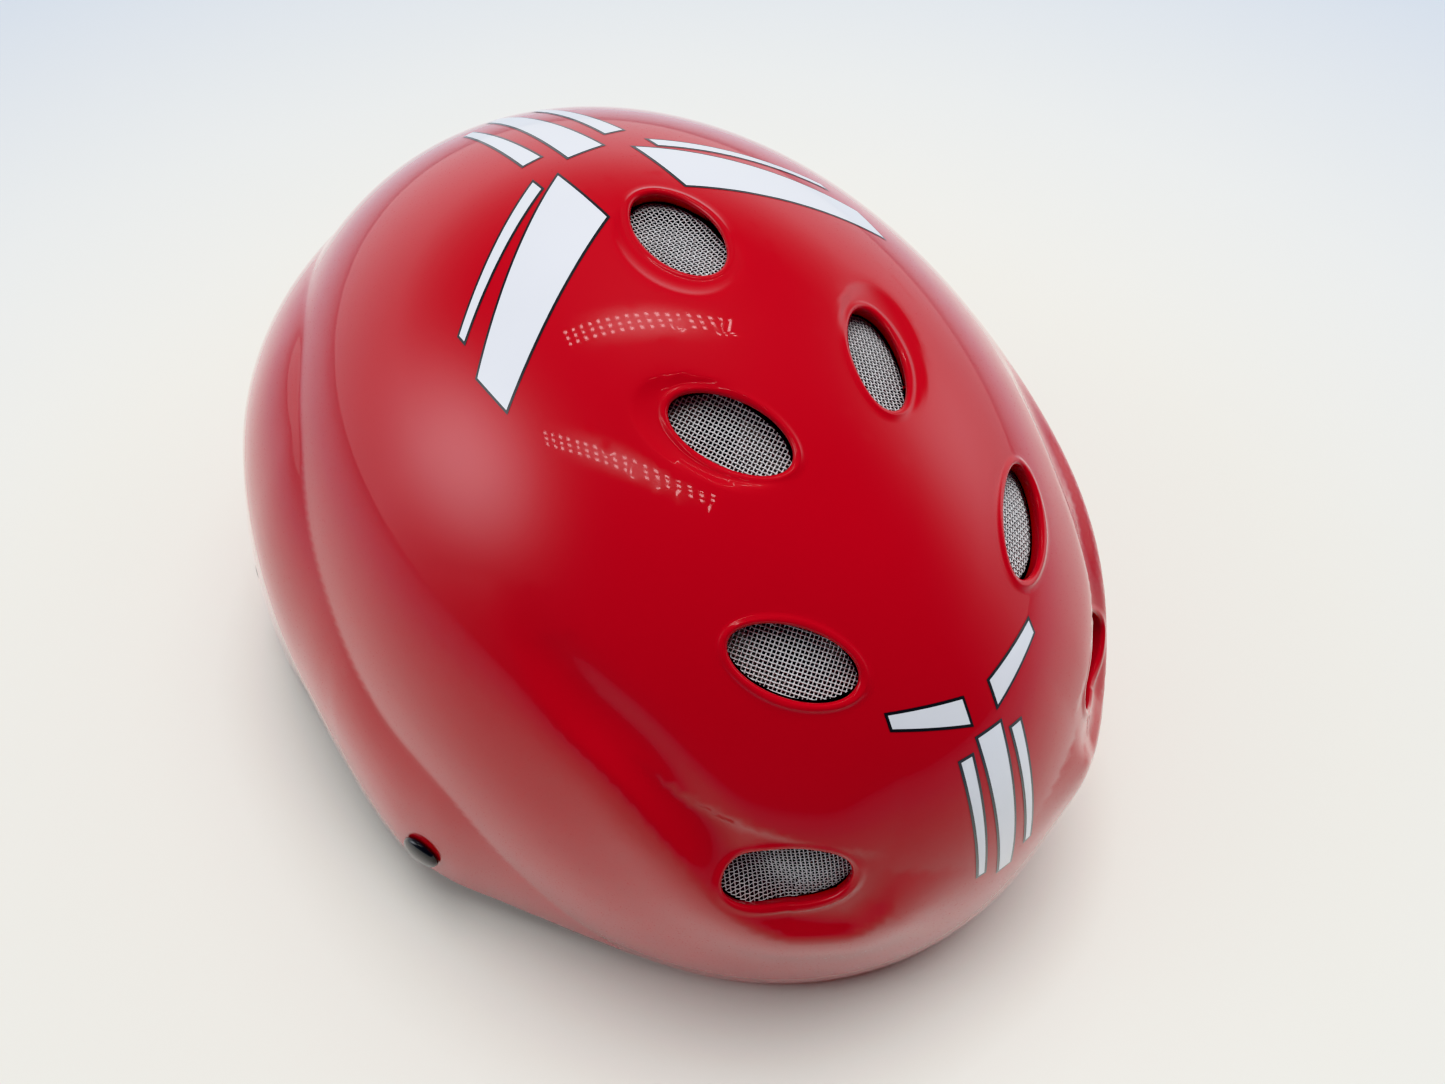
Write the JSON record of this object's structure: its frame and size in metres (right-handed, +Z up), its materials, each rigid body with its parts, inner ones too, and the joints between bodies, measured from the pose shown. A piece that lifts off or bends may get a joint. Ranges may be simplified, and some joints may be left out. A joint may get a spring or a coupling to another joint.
{
  "type": "water sports helmet",
  "caption": "Hard-shell water sports helmet with mesh-covered vents, flared ear skirt, foam liner, comfort pads and a buckled chin harness.",
  "frame": {"origin": "on the ground under the middle of the shell's length and width, with the rim standing on the ground at the brow and the nape", "axes": "+Z up to the crown, -Y towards the brow (the front), +X towards the wearer's left"},
  "size_m": [0.2174, 0.2798, 0.1545],
  "materials": {
    "shell": "injection-moulded red shell under a clear gloss coat",
    "mesh": "bright plain-woven wire",
    "foam": "matt closed-cell EVA foam",
    "pad": "brushed knit over soft foam",
    "rivet": "glossy black moulded cap",
    "plastic": "fine-grained black acetal",
    "screw": "satin stainless steel",
    "webbing": "flat woven polyester webbing",
    "keeper": "matt black rubber"
  },
  "bodies": {
    "root": {"outer_shell": "shell", "foam_liner": "foam", "vent_mesh_top": "mesh", "vent_mesh_upper_left": "mesh", "vent_mesh_upper_right": "mesh", "vent_mesh_middle_left": "mesh", "vent_mesh_middle_right": "mesh", "vent_mesh_lower_left": "mesh", "vent_mesh_lower_right": "mesh", "brow_pad": "pad", "nape_pad": "pad", "crown_pad": "pad", "side_pad_left": "pad", "side_pad_right": "pad", "rivet_front_left": "rivet", "strap_hanger_front_left": "plastic", "anchor_screw_front_left": "screw", "rivet_front_right": "rivet", "strap_hanger_front_right": "plastic", "anchor_screw_front_right": "screw", "rivet_rear_left": "rivet", "strap_hanger_rear_left": "plastic", "anchor_screw_rear_left": "screw", "rivet_rear_right": "rivet", "strap_hanger_rear_right": "plastic", "anchor_screw_rear_right": "screw"},
    "strap_left": {"ear_strap_left": "webbing", "divider_left": "plastic", "chin_strap_left": "webbing", "chin_pad": "pad"},
    "lever_left": {"divider_lever_left": "plastic"},
    "strap_right": {"ear_strap_right": "webbing", "divider_right": "plastic", "chin_strap_right": "webbing"},
    "lever_right": {"divider_lever_right": "plastic"},
    "buckle_socket": {"buckle_female": "plastic"},
    "buckle_plug": {"buckle_male": "plastic"},
    "keeper": {"strap_keeper": "keeper"}
  },
  "joints": [
    {"name": "strap_left_swing", "type": "hinge", "parent": "root", "child": "strap_left", "pos_m": [-0.0915, 0.00256, 0.0158], "axis": [0, 1, 0], "range_deg": [-35, 85]},
    {"name": "strap_right_swing", "type": "hinge", "parent": "root", "child": "strap_right", "pos_m": [0.0915, 0.00256, 0.0158], "axis": [0, -1, 0], "range_deg": [-35, 85]},
    {"name": "divider_lever_left_flip", "type": "hinge", "parent": "strap_left", "child": "lever_left", "pos_m": [-0.01062, 0.01656, 0.00559], "axis": [0, 1, 0], "range_deg": [0, 75]},
    {"name": "divider_lever_right_flip", "type": "hinge", "parent": "strap_right", "child": "lever_right", "pos_m": [0.01062, 0.01656, 0.00559], "axis": [0, -1, 0], "range_deg": [0, 75]},
    {"name": "buckle_socket_tilt", "type": "hinge", "parent": "strap_left", "child": "buckle_socket", "pos_m": [-0.02229, -0.06344, 0.0042], "axis": [1, 0, 0], "range_deg": [-25, 25]},
    {"name": "buckle_plug_tilt", "type": "hinge", "parent": "strap_right", "child": "buckle_plug", "pos_m": [0.02229, -0.05444, 0.0042], "axis": [1, 0, 0], "range_deg": [-25, 25]},
    {"name": "keeper_slide", "type": "slide", "parent": "strap_right", "child": "keeper", "axis": [0, 1, 0], "range_m": [-0.006, 0.004]}
  ]
}
